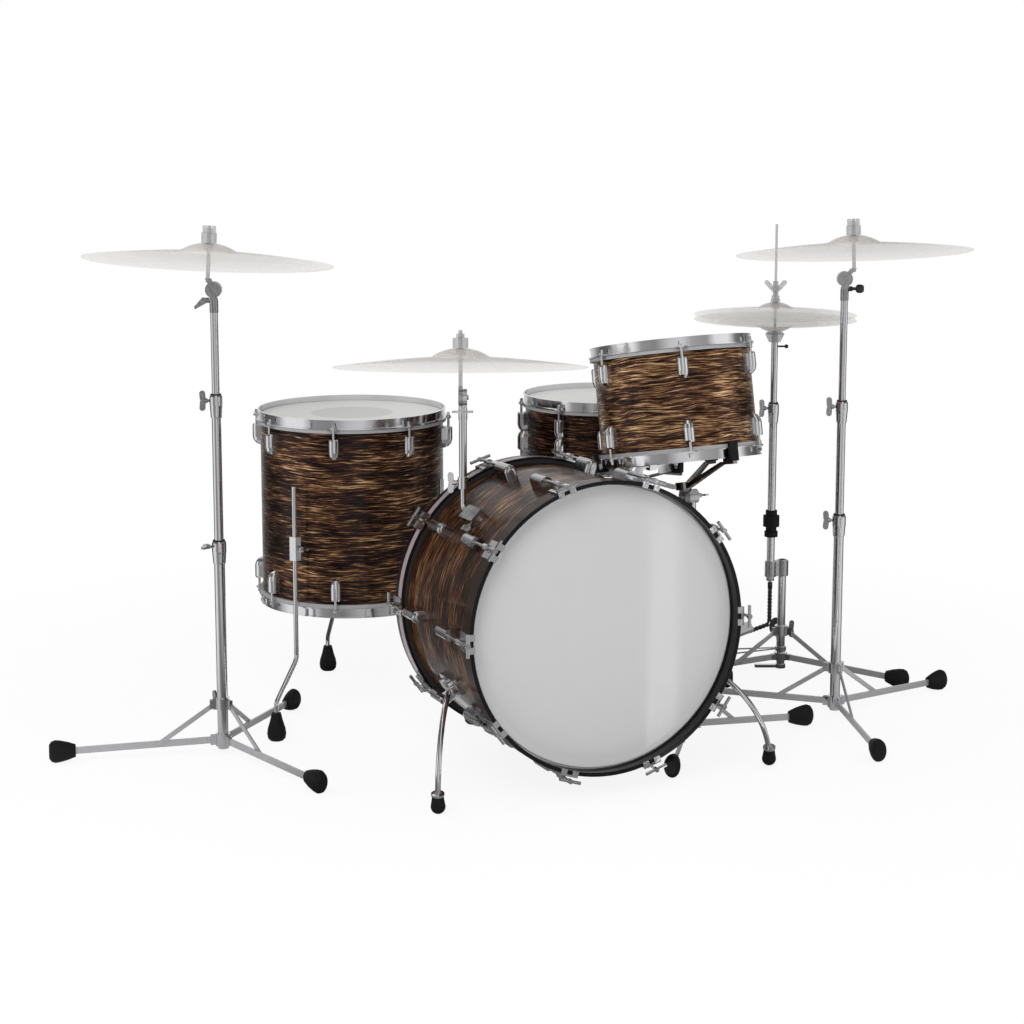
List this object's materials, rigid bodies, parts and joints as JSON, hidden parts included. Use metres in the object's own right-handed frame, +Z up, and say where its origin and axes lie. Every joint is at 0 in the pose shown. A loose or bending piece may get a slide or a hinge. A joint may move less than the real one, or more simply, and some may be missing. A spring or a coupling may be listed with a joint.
{
  "type": "acoustic drum kit",
  "caption": "Acoustic drum kit: bass drum, floor tom, rack tom and snare in brown rippled wrap, with hi-hat and cymbals on telescoping tripod stands.",
  "frame": {"origin": "on the floor under the middle of the kit's bounding box", "axes": "+Z up, +X to the right as seen from the audience, the bass drum's axis along Y with its front head towards -Y"},
  "size_m": [2.036, 1.172, 1.1062],
  "materials": {
    "shell_wrap": "gloss laminate with brown and amber ripples running round the shell",
    "black_hoop": "gloss black lacquer with a narrow inlay",
    "head_film": "coated film",
    "chrome": "polished chrome",
    "satin_steel": "satin plated flat bar",
    "pedal_alloy": "cast alloy with a ribbed tread",
    "chain_black": "black roller chain",
    "cymbal_bronze": "lathed bronze, shown pale and see-through",
    "rubber": "moulded black rubber"
  },
  "bodies": {
    "base": {"bass_shell": "shell_wrap", "bass_front_hoop": "black_hoop", "bass_rear_hoop": "black_hoop", "bass_heads": "head_film", "bass_lugs": "chrome", "bass_claws": "chrome", "bass_t_rods": "chrome", "bass_spur_brackets": "chrome", "bass_cymbal_bracket": "chrome", "floor_tom_legs": "chrome", "tripod_legs": "satin_steel", "tripod_braces": "satin_steel", "rubber_feet": "rubber", "cymbal_stand_base_tubes": "chrome", "drum_stand_base_tubes": "chrome", "hihat_base": "chrome"},
    "left_spur": {"spur_left": "chrome"},
    "right_spur": {"spur_right": "chrome"},
    "bass_cymbal_rod": {"bass_cymbal_l_rod": "chrome"},
    "bass_cymbal_post": {"bass_cymbal_post": "chrome"},
    "bass_cymbal_tilter": {"bass_cymbal_tilter": "chrome"},
    "bass_cymbal": {"bass_cymbal": "cymbal_bronze"},
    "floor_tom": {"floor_tom_shell": "shell_wrap", "floor_tom_heads": "head_film", "floor_tom_hoops": "chrome", "floor_tom_lugs": "chrome", "floor_tom_tension_rods": "chrome", "floor_tom_leg_brackets": "chrome"},
    "tom_post": {"tom_stand_post": "chrome"},
    "rack_tom": {"tom_basket": "chrome", "rack_tom_shell": "shell_wrap", "rack_tom_heads": "head_film", "rack_tom_hoops": "chrome", "rack_tom_lugs": "chrome", "rack_tom_tension_rods": "chrome"},
    "snare_post": {"snare_stand_post": "chrome"},
    "snare_drum": {"snare_basket": "chrome", "snare_shell": "shell_wrap", "snare_heads": "head_film", "snare_hoops": "chrome", "snare_lugs": "chrome", "snare_tension_rods": "chrome", "snare_strainer": "chrome", "snare_wires": "satin_steel"},
    "snare_lever": {"snare_lever": "chrome"},
    "left_middle": {"left_stand_middle_tube": "chrome"},
    "left_upper": {"left_stand_upper_tube": "chrome"},
    "left_tilter": {"left_stand_tilter": "chrome"},
    "left_cymbal": {"left_cymbal": "cymbal_bronze"},
    "right_middle": {"right_stand_middle_tube": "chrome"},
    "right_upper": {"right_stand_upper_tube": "chrome"},
    "right_tilter": {"right_stand_tilter": "chrome"},
    "right_cymbal": {"right_cymbal": "cymbal_bronze"},
    "hihat_pedal": {"hihat_footboard": "pedal_alloy"},
    "hihat_rod": {"hihat_pull_rod": "chrome", "hihat_chain": "chain_black"},
    "hihat_top": {"hihat_clutch": "chrome", "hihat_top_cymbal": "cymbal_bronze"},
    "hihat_tube": {"hihat_height_tube": "chrome", "hihat_bottom_cymbal": "cymbal_bronze"}
  },
  "joints": [
    {"name": "left_spur_fold", "type": "hinge", "parent": "base", "child": "left_spur", "pos_m": [-0.30863, -0.38, 0.20019], "axis": [-0.8949, -0.0132, -0.446], "range_deg": [0, 60]},
    {"name": "right_spur_fold", "type": "hinge", "parent": "base", "child": "right_spur", "pos_m": [0.22192, -0.38, 0.20019], "axis": [-0.8949, 0.0132, 0.446], "range_deg": [0, 60]},
    {"name": "bass_cymbal_swing", "type": "hinge", "parent": "base", "child": "bass_cymbal_rod", "pos_m": [-0.24656, -0.29589, 0.5398], "axis": [0, -0.9996, 0.0297], "range_deg": [-12, 8]},
    {"name": "bass_cymbal_height", "type": "slide", "parent": "bass_cymbal_rod", "child": "bass_cymbal_post", "axis": [0, 0, 1], "range_m": [-0.02, 0.07]},
    {"name": "bass_cymbal_tilt", "type": "hinge", "parent": "bass_cymbal_post", "child": "bass_cymbal_tilter", "pos_m": [-0.24656, -0.29589, 0.772], "axis": [-0.9205, 0.3907, 0], "range_deg": [-20, 20]},
    {"name": "bass_cymbal_spin", "type": "hinge", "parent": "bass_cymbal_tilter", "child": "bass_cymbal", "pos_m": [-0.24879, -0.28986, 0.83282], "axis": [0.03, 0.0706, 0.9971], "continuous": true},
    {"name": "left_middle_height", "type": "slide", "parent": "base", "child": "left_middle", "axis": [0, 0, 1], "range_m": [-0.1, 0.12]},
    {"name": "left_upper_height", "type": "slide", "parent": "left_middle", "child": "left_upper", "axis": [0, 0, 1], "range_m": [-0.06, 0.12]},
    {"name": "left_cymbal_tilt", "type": "hinge", "parent": "left_upper", "child": "left_tilter", "pos_m": [-0.66636, 0.017, 0.976], "axis": [0.3907, 0.9205, 0], "range_deg": [-20, 15]},
    {"name": "left_cymbal_spin", "type": "hinge", "parent": "left_tilter", "child": "left_cymbal", "pos_m": [-0.67384, 0.02496, 1.0336], "axis": [0.0482, -0.0204, 0.9986], "continuous": true},
    {"name": "right_middle_height", "type": "slide", "parent": "base", "child": "right_middle", "axis": [0, 0, 1], "range_m": [-0.06, 0.12]},
    {"name": "right_upper_height", "type": "slide", "parent": "right_middle", "child": "right_upper", "axis": [0, 0, 1], "range_m": [-0.04, 0.12]},
    {"name": "right_cymbal_tilt", "type": "hinge", "parent": "right_upper", "child": "right_tilter", "pos_m": [0.66764, -0.24, 0.976], "axis": [0.3907, 0.9205, 0], "range_deg": [-8, 20]},
    {"name": "right_cymbal_spin", "type": "hinge", "parent": "right_tilter", "child": "right_cymbal", "pos_m": [0.68666, -0.24329, 1.03376], "axis": [-0.0353, 0.015, 0.9993], "continuous": true},
    {"name": "floor_tom_height", "type": "slide", "parent": "base", "child": "floor_tom", "axis": [0, 0, 1], "range_m": [-0.05, 0.08]},
    {"name": "tom_stand_height", "type": "slide", "parent": "base", "child": "tom_post", "axis": [0, 0, 1], "range_m": [0, 0.1]},
    {"name": "tom_basket_tilt", "type": "hinge", "parent": "tom_post", "child": "rack_tom", "pos_m": [0.26859, -0.2662, 0.52871], "axis": [0.9997, 0.0045, 0.024], "range_deg": [0, 10]},
    {"name": "snare_stand_height", "type": "slide", "parent": "base", "child": "snare_post", "axis": [0, 0, 1], "range_m": [-0.08, 0.08]},
    {"name": "snare_basket_tilt", "type": "hinge", "parent": "snare_post", "child": "snare_drum", "pos_m": [0.28264, 0.166, 0.4573], "axis": [1, 0, 0], "range_deg": [-12, 0]},
    {"name": "snare_lever_throw", "type": "hinge", "parent": "snare_drum", "child": "snare_lever", "pos_m": [0.24201, 0.36571, 0.6073], "axis": [0.9799, 0.1994, 0], "range_deg": [0, 75]},
    {"name": "hihat_pedal_press", "type": "hinge", "parent": "base", "child": "hihat_pedal", "pos_m": [0.48247, 0.25237, 0.024], "axis": [0.3907, 0.9205, 0], "range_deg": [0, 2.15], "stiffness_Nm_per_rad": 60, "springref_deg": -8.59},
    {"name": "hihat_rod_pull", "type": "slide", "parent": "base", "child": "hihat_rod", "axis": [0, 0, -1], "range_m": [0, 0.0096]},
    {"name": "hihat_height", "type": "slide", "parent": "base", "child": "hihat_tube", "axis": [0, 0, 1], "range_m": [-0.06, 0.08]},
    {"name": "hihat_clutch_height", "type": "slide", "parent": "hihat_rod", "child": "hihat_top", "axis": [0, 0, 1], "range_m": [-0.06, 0.08]}
  ],
  "couplings": [
    {"joint": "hihat_rod_pull", "follows": "hihat_pedal_press", "m_per_rad": 0.253},
    {"joint": "hihat_clutch_height", "follows": "hihat_height", "ratio": 1}
  ]
}
